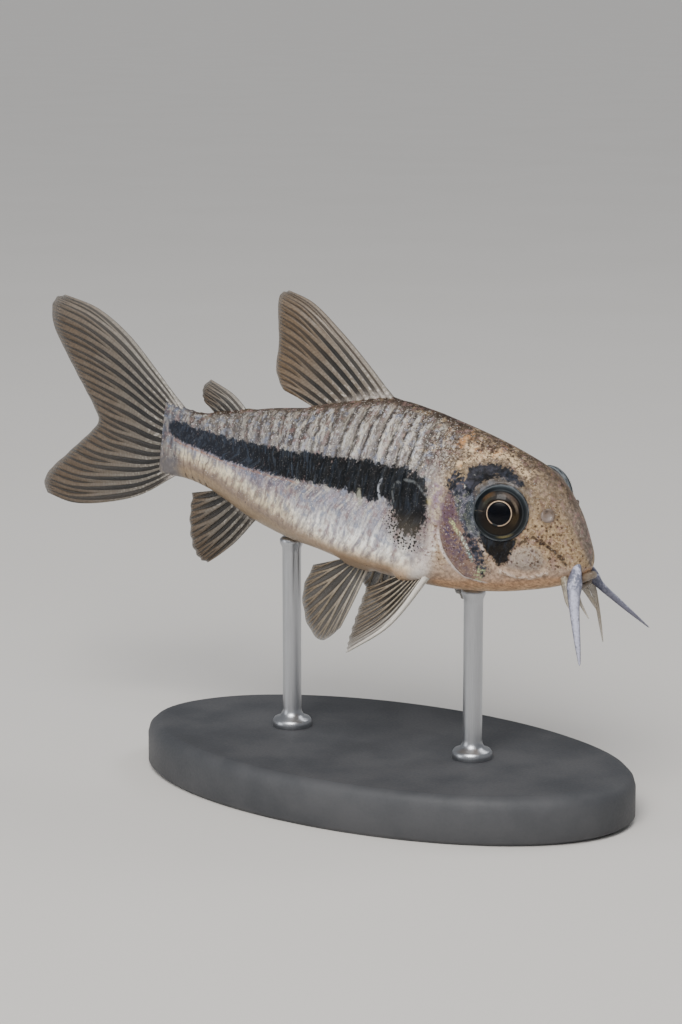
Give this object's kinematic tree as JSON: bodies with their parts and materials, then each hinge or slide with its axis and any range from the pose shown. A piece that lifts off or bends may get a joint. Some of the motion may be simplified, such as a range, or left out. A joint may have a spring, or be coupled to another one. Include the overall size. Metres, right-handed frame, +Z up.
{
  "type": "corydoras catfish model",
  "caption": "Life-size armoured catfish in a swimming pose, dark flank stripe, clear rayed fins and mouth barbels, held over a flat base by short rods.",
  "frame": {"origin": "centre of the stand base's underside", "axes": "+X the way the fish faces, +Y the fish's left, +Z up"},
  "size_m": [0.0595, 0.026, 0.0416],
  "materials": {
    "head_skin": "tan-brown head skin with fine dark speckles, a black eye mask and a pinkish cream chin, moist sheen",
    "flank_scutes": "pearly silver body scutes with a blue-black stripe along the flank and a cream to orange belly edge",
    "eye": "dark eye with a thin gold ring under a clear cornea",
    "fin_membrane": "thin clear membrane with pale branched rays and dusky pigment between them",
    "barbel_skin": "pale bluish-white fleshy barbels, moist sheen",
    "stand_slate": "matte dark grey stand base",
    "stand_steel": "fine brushed steel rods"
  },
  "bodies": {
    "root": {"head": "head_skin", "trunk": "flank_scutes", "tail_stem": "flank_scutes", "eye_right": "eye", "eye_left": "eye", "dorsal_fin": "fin_membrane", "adipose_fin": "fin_membrane", "anal_fin": "fin_membrane", "caudal_fin": "fin_membrane", "pectoral_fin_right": "fin_membrane", "pectoral_fin_left": "fin_membrane", "pelvic_fin_right": "fin_membrane", "pelvic_fin_left": "fin_membrane", "upper_barbel_right": "barbel_skin", "upper_barbel_left": "barbel_skin", "lower_barbel_right": "barbel_skin", "lower_barbel_left": "barbel_skin", "chin_barbel_right": "barbel_skin", "chin_barbel_left": "barbel_skin", "stand_base": "stand_slate", "stand_rod_front": "stand_steel", "stand_rod_rear": "stand_steel"}
  },
  "joints": []
}
